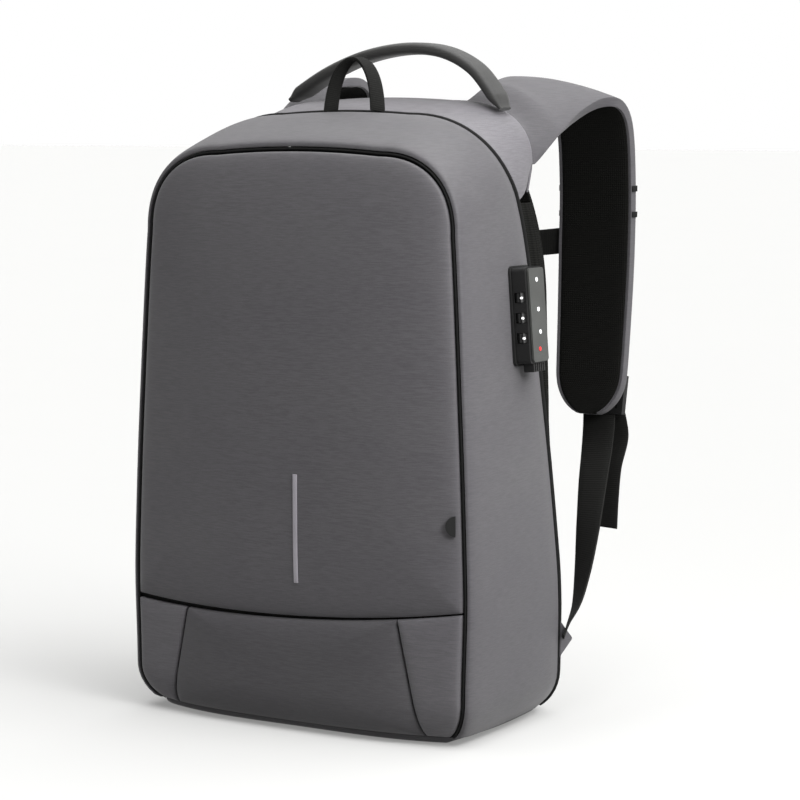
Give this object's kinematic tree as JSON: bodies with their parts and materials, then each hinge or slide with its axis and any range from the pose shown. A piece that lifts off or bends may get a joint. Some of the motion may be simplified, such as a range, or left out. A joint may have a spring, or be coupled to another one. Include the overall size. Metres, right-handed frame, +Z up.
{
  "type": "anti theft backpack",
  "caption": "Slim upright backpack with a padded back, concealed main zip, shoulder straps, carry handle and a dial lock on its side.",
  "frame": {"origin": "centre of the flat base, on the surface that the bag stands on", "axes": "+X to the right seen from the front, front faces -Y, +Z up"},
  "size_m": [0.3076, 0.2716, 0.4931],
  "materials": {
    "front_cloth": "coated melange cloth, fine level streaks",
    "pocket_cloth": "coated melange cloth, darker",
    "corner_cloth": "coated melange cloth",
    "side_cloth": "coated melange cloth",
    "top_cloth": "coated melange cloth, lighter",
    "black_trim": "black woven tape",
    "air_mesh": "black open spacer mesh",
    "handle_cloth": "coated melange cloth over padding",
    "webbing": "ribbed black webbing",
    "reflective_tape": "woven reflective tape",
    "port_rubber": "matte black rubber",
    "buckle_plastic": "moulded acetal",
    "lock_black": "matte moulded plastic",
    "lock_grey": "satin dark grey plastic",
    "axle_steel": "turned steel pin"
  },
  "bodies": {
    "root": {"front_panel": "front_cloth", "lower_pocket_panel": "pocket_cloth", "base_panel": "pocket_cloth", "corner_panel_right": "corner_cloth", "corner_panel_left": "corner_cloth", "side_gusset": "side_cloth", "strap_skin_right": "side_cloth", "strap_skin_left": "side_cloth", "strap_tab_right": "side_cloth", "strap_tab_left": "side_cloth", "rear_yoke": "top_cloth", "front_piping": "black_trim", "main_zip_tape": "black_trim", "back_rim_right": "black_trim", "back_rim_left": "black_trim", "strap_band_upper_right": "black_trim", "strap_band_upper_left": "black_trim", "strap_band_lower_right": "black_trim", "strap_band_lower_left": "black_trim", "back_panel": "air_mesh", "strap_pad_right": "air_mesh", "strap_pad_left": "air_mesh", "top_handle": "handle_cloth", "zip_pull_loop": "webbing", "lower_webbing_right": "webbing", "lower_webbing_left": "webbing", "webbing_tail_right": "webbing", "webbing_tail_left": "webbing", "sternum_webbing_right": "webbing", "sternum_webbing_left": "webbing", "reflective_strip": "reflective_tape", "port_cap": "port_rubber", "sternum_buckle": "buckle_plastic", "ladder_lock_right": "buckle_plastic", "ladder_lock_left": "buckle_plastic", "lock_base": "lock_black", "lock_housing": "lock_black", "lock_face_plate": "lock_grey", "dial_axle": "axle_steel"},
    "dial_upper": {"dial_wheel_upper": "lock_black"},
    "dial_middle": {"dial_wheel_middle": "lock_black"},
    "dial_lower": {"dial_wheel_lower": "lock_black"},
    "slide": {"release_slide": "lock_black"}
  },
  "joints": [
    {"name": "dial_upper_turn", "type": "hinge", "parent": "root", "child": "dial_upper", "pos_m": [0.14189, 0.0069, 0.31148], "axis": [-0.0785, 0, 0.9969], "continuous": true},
    {"name": "dial_middle_turn", "type": "hinge", "parent": "root", "child": "dial_middle", "pos_m": [0.14301, 0.0069, 0.29723], "axis": [-0.0785, 0, 0.9969], "continuous": true},
    {"name": "dial_lower_turn", "type": "hinge", "parent": "root", "child": "dial_lower", "pos_m": [0.14413, 0.0069, 0.28297], "axis": [-0.0785, 0, 0.9969], "continuous": true},
    {"name": "release_slide_move", "type": "slide", "parent": "root", "child": "slide", "axis": [0.0785, 0, -0.9969], "range_m": [0, 0.003]}
  ]
}
